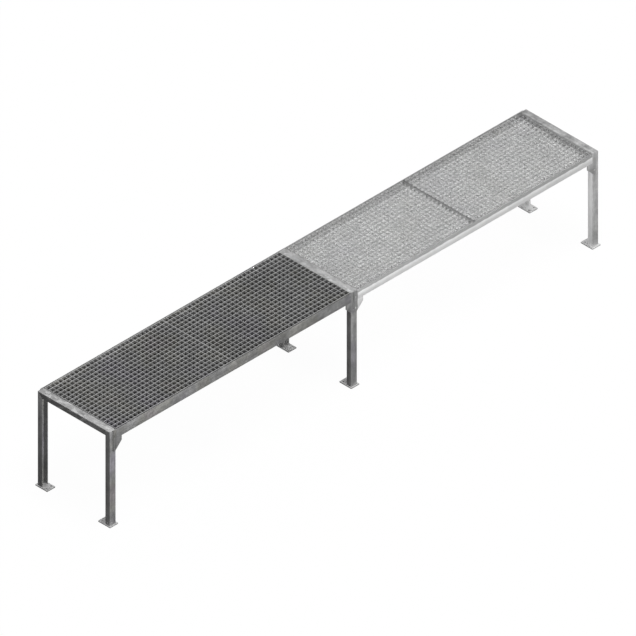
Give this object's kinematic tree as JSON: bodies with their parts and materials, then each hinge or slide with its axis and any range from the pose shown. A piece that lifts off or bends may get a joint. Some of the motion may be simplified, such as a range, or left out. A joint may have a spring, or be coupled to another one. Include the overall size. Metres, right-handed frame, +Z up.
{
  "type": "work platform bench",
  "caption": "Long low walk-on work platform: galvanised steel portal frames with base plates, angle side beams, gussets and lift-out square-mesh grating panels.",
  "frame": {"origin": "on the floor, under the middle of the deck, at the centre of the underside of the bounding box", "axes": "+X along the bench, +Y across it away from the near side, +Z up"},
  "size_m": [4.186, 0.639, 0.7],
  "materials": {
    "zinc_weathered": "hot-dip galvanised, dull weathered grey with mottled patches",
    "zinc_top": "hot-dip galvanised, pale, mottled and slightly streaked",
    "zinc_plate": "hot-dip galvanised plate, pale",
    "zinc_bright": "new hot-dip galvanised, pale bright grey",
    "zinc_bearer": "hot-dip galvanised, dull",
    "grating_weathered": "hot-dip galvanised bars, dull dark grey",
    "grating_bright": "new hot-dip galvanised bars, pale grey",
    "fastener": "zinc-plated"
  },
  "bodies": {
    "frame": {"left_near_leg": "zinc_weathered", "left_near_base_plate": "zinc_plate", "left_far_leg": "zinc_weathered", "left_far_base_plate": "zinc_plate", "left_top_beam": "zinc_top", "middle_near_leg": "zinc_weathered", "middle_near_base_plate": "zinc_plate", "middle_far_leg": "zinc_weathered", "middle_far_base_plate": "zinc_plate", "middle_top_beam": "zinc_bright", "right_near_leg": "zinc_bright", "right_near_base_plate": "zinc_bright", "right_far_leg": "zinc_bright", "right_far_base_plate": "zinc_bright", "right_top_beam": "zinc_bright", "first_bay_near_side_beam": "zinc_weathered", "first_bay_near_left_gusset": "zinc_weathered", "first_bay_near_left_upper_screw": "fastener", "first_bay_near_left_lower_screw": "fastener", "first_bay_near_right_gusset": "zinc_weathered", "first_bay_near_right_upper_screw": "fastener", "first_bay_near_right_lower_screw": "fastener", "first_bay_far_side_beam": "zinc_weathered", "first_bay_far_left_gusset": "zinc_weathered", "first_bay_far_left_upper_screw": "fastener", "first_bay_far_left_lower_screw": "fastener", "first_bay_far_right_gusset": "zinc_weathered", "first_bay_far_right_upper_screw": "fastener", "first_bay_far_right_lower_screw": "fastener", "first_bay_left_bearer": "zinc_bearer", "first_bay_centre_bearer": "zinc_bearer", "first_bay_right_bearer": "zinc_bearer", "second_bay_near_side_beam": "zinc_bright", "second_bay_near_left_gusset": "zinc_bright", "second_bay_near_left_upper_screw": "fastener", "second_bay_near_left_lower_screw": "fastener", "second_bay_near_right_gusset": "zinc_bright", "second_bay_near_right_upper_screw": "fastener", "second_bay_near_right_lower_screw": "fastener", "second_bay_far_side_beam": "zinc_bright", "second_bay_far_left_gusset": "zinc_bright", "second_bay_far_left_upper_screw": "fastener", "second_bay_far_left_lower_screw": "fastener", "second_bay_far_right_gusset": "zinc_bright", "second_bay_far_right_upper_screw": "fastener", "second_bay_far_right_lower_screw": "fastener", "second_bay_left_bearer": "zinc_bearer", "second_bay_centre_bearer": "zinc_bearer", "second_bay_right_bearer": "zinc_bearer"},
    "first_bay_left_panel": {"first_bay_left_grating": "grating_weathered"},
    "first_bay_right_panel": {"first_bay_right_grating": "grating_weathered"},
    "second_bay_left_panel": {"second_bay_left_grating": "grating_bright"},
    "second_bay_right_panel": {"second_bay_right_grating": "grating_bright"}
  },
  "joints": [
    {"name": "first_bay_left_panel_lift", "type": "slide", "parent": "frame", "child": "first_bay_left_panel", "axis": [0, 0, 1], "range_m": [0, 0.15]},
    {"name": "first_bay_right_panel_lift", "type": "slide", "parent": "frame", "child": "first_bay_right_panel", "axis": [0, 0, 1], "range_m": [0, 0.15]},
    {"name": "second_bay_left_panel_lift", "type": "slide", "parent": "frame", "child": "second_bay_left_panel", "axis": [0, 0, 1], "range_m": [0, 0.15]},
    {"name": "second_bay_right_panel_lift", "type": "slide", "parent": "frame", "child": "second_bay_right_panel", "axis": [0, 0, 1], "range_m": [0, 0.15]}
  ]
}
